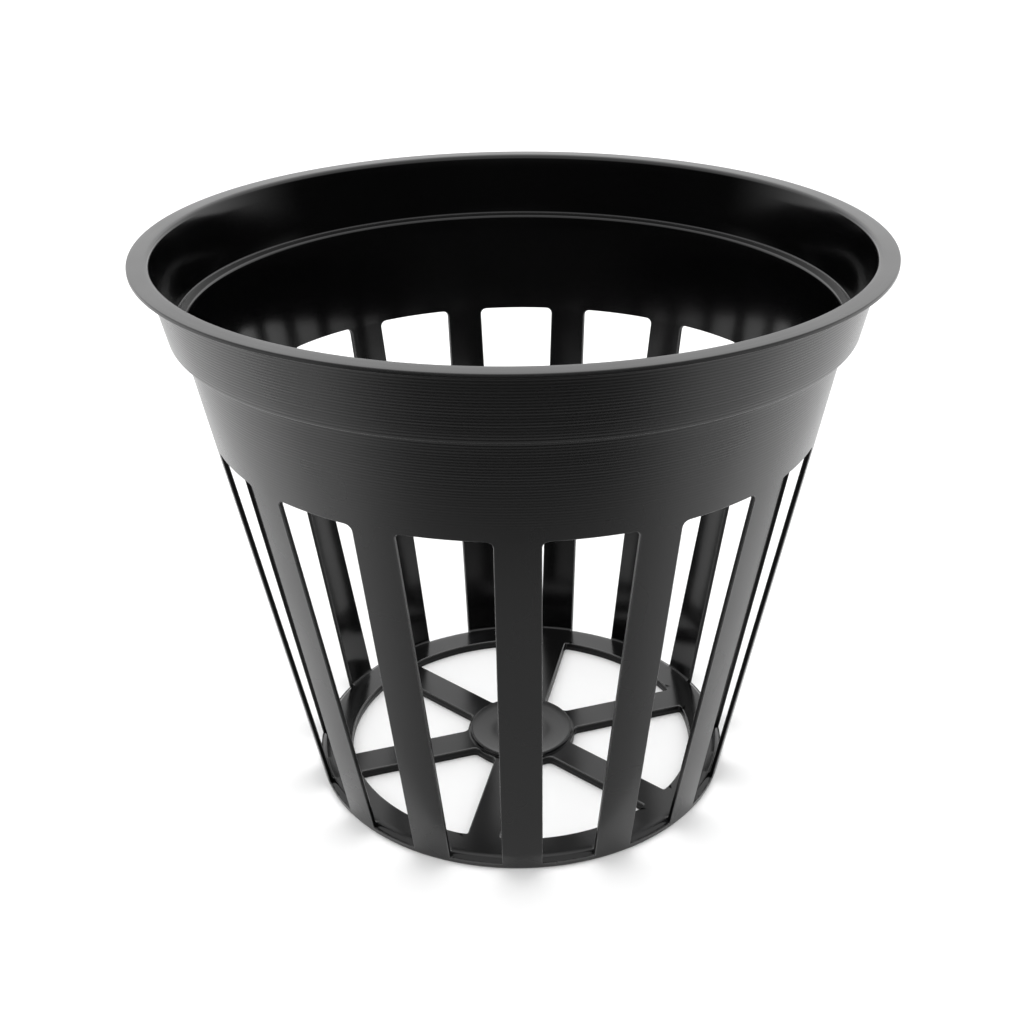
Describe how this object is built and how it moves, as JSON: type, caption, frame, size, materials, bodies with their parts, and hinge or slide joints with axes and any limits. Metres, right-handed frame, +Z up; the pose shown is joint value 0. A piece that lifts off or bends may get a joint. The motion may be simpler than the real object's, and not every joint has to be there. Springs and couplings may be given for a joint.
{
  "type": "hydroponic net pot",
  "caption": "Tapered round net pot with a flat rim, a stepped collar, upright wall bars with tall slots between them and an open spoked floor, for holding growing medium in a lid or raft.",
  "frame": {"origin": "centre of the base, on the surface that the pot stands on", "axes": "+Z up along the pot's axis; a wall bar faces -Y and a slot faces +Y"},
  "size_m": [0.114, 0.114, 0.092],
  "materials": {
    "pot": "black moulded polypropylene, glossy inside, with fine turned lines outside on the collar and band"
  },
  "bodies": {
    "root": {"net_pot": "pot"}
  },
  "joints": []
}
